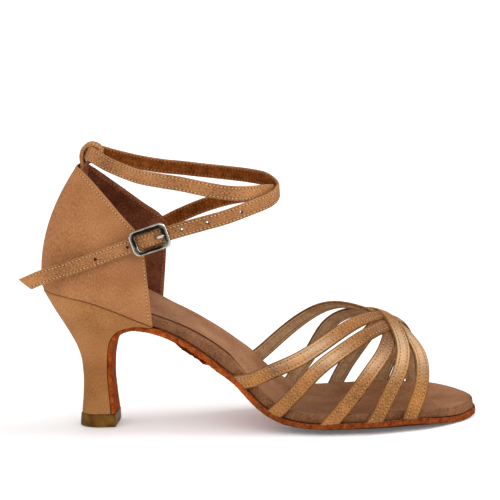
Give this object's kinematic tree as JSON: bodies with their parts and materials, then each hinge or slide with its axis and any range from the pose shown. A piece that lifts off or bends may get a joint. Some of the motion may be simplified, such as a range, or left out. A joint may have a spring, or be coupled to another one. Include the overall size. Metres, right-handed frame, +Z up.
{
  "type": "dance shoe",
  "caption": "Open-toed dance sandal with a flared heel, closed counter, crossing vamp straps and a long ankle strap that closes with a small buckle.",
  "frame": {"origin": "middle of the footprint on the floor", "axes": "+X towards the toe, +Y towards the inner side of the foot, +Z up"},
  "size_m": [0.235, 0.0745, 0.1547],
  "materials": {
    "satin_tan": "soft satin sheen",
    "suede_rust": "napped suede",
    "lining_taupe": "matte soft lining",
    "tip_plastic": "smooth moulded",
    "buckle_nickel": "aged nickel"
  },
  "bodies": {
    "root": {"outsole": "suede_rust", "insole": "lining_taupe", "sock": "lining_taupe", "heel": "satin_tan", "heel_tip": "tip_plastic", "counter": "satin_tan", "strap_loop": "satin_tan", "vamp_straps": "satin_tan", "ankle_strap": "satin_tan", "buckle_frame": "buckle_nickel", "buckle_prong": "buckle_nickel", "buckle_tab": "satin_tan"}
  },
  "joints": []
}
